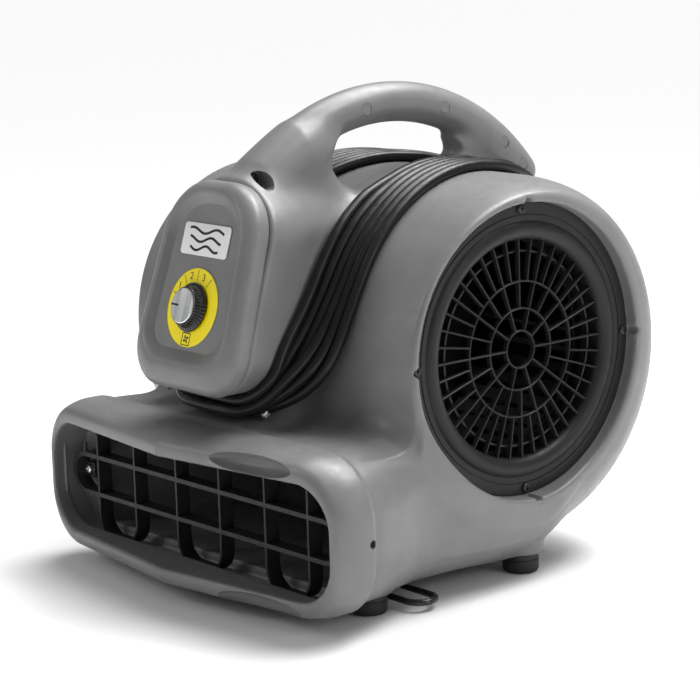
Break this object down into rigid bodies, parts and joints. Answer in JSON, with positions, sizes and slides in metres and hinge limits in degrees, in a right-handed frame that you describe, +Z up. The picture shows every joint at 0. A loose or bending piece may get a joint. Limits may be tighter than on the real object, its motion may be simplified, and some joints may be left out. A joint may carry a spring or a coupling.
{
  "type": "air mover",
  "caption": "Floor-drying blower: scroll housing with guarded inlets on both sides, wide flat outlet, arched carrying handle, dial on a tilted panel, and the supply cord wound round its neck.",
  "frame": {"origin": "middle of the box on the floor, under the machine", "axes": "+X along the fan axis to the right inlet, +Y from the outlet to the back, +Z up"},
  "size_m": [0.368, 0.394, 0.367],
  "materials": {
    "shell_plastic": "fine moulded texture",
    "guard_plastic": "fine moulded texture",
    "black_plastic": "satin",
    "knob_plastic": "semi-gloss",
    "cap_metal": "satin",
    "badge_white": "satin print",
    "dial_yellow": "satin print",
    "fastener_steel": "zinc plated",
    "dark_steel": "black oxide",
    "motor_paint": "satin",
    "cast_alloy": "as cast",
    "hub_alloy": "machined",
    "lamination_steel": "stacked sheet",
    "winding_enamel": "enamelled wire",
    "cream_plastic": "moulded",
    "foot_rubber": "matt",
    "cord_rubber": "semi-matt",
    "wire_coat": "powder coat",
    "pin_plating": "nickel plated"
  },
  "bodies": {
    "machine": {"housing_right": "shell_plastic", "housing_left": "shell_plastic", "housing_screws": "fastener_steel", "handle_plugs": "shell_plastic", "control_cover": "shell_plastic", "cover_studs": "fastener_steel", "badge_plate": "badge_white", "dial_disc": "dial_yellow", "rotary_switch": "black_plastic", "switch_nut": "fastener_steel", "capacitor": "hub_alloy", "terminal_block": "cream_plastic", "motor_cable": "cord_rubber", "outlet_grille": "guard_plastic", "grille_screws": "fastener_steel", "inlet_guard_right": "guard_plastic", "inlet_guard_left": "guard_plastic", "guard_screws": "dark_steel", "motor_bracket": "cast_alloy", "motor_case": "motor_paint", "motor_end_bell": "cast_alloy", "stator_core": "lamination_steel", "motor_windings": "winding_enamel", "bearings": "fastener_steel", "front_feet": "foot_rubber", "rear_feet": "foot_rubber", "foot_screws": "fastener_steel", "stand_clips": "black_plastic", "clip_screws": "fastener_steel", "cord_relief": "cord_rubber", "cord_winding": "cord_rubber", "plug_body": "cord_rubber", "plug_pins": "pin_plating"},
    "knob": {"speed_knob": "knob_plastic", "knob_cap": "cap_metal", "knob_pointer": "knob_plastic", "switch_shaft": "fastener_steel"},
    "fan": {"motor_shaft": "fastener_steel", "rotor_core": "lamination_steel", "fan_hub": "hub_alloy", "hub_set_screw": "dark_steel", "fan_plate": "black_plastic", "fan_blades": "black_plastic", "fan_end_rings": "black_plastic"},
    "stand": {"wire_stand": "wire_coat"}
  },
  "joints": [
    {"name": "speed_dial", "type": "hinge", "parent": "machine", "child": "knob", "pos_m": [0, -0.1575, 0.216], "axis": [0, 0.9537, -0.3007], "range_deg": [0, 108]},
    {"name": "fan_spin", "type": "hinge", "parent": "machine", "child": "fan", "pos_m": [0, 0.036, 0.175], "axis": [1, 0, 0], "continuous": true},
    {"name": "stand_fold", "type": "hinge", "parent": "machine", "child": "stand", "pos_m": [0, -0.084, 0.007], "axis": [-1, 0, 0], "range_deg": [0, 95]}
  ]
}
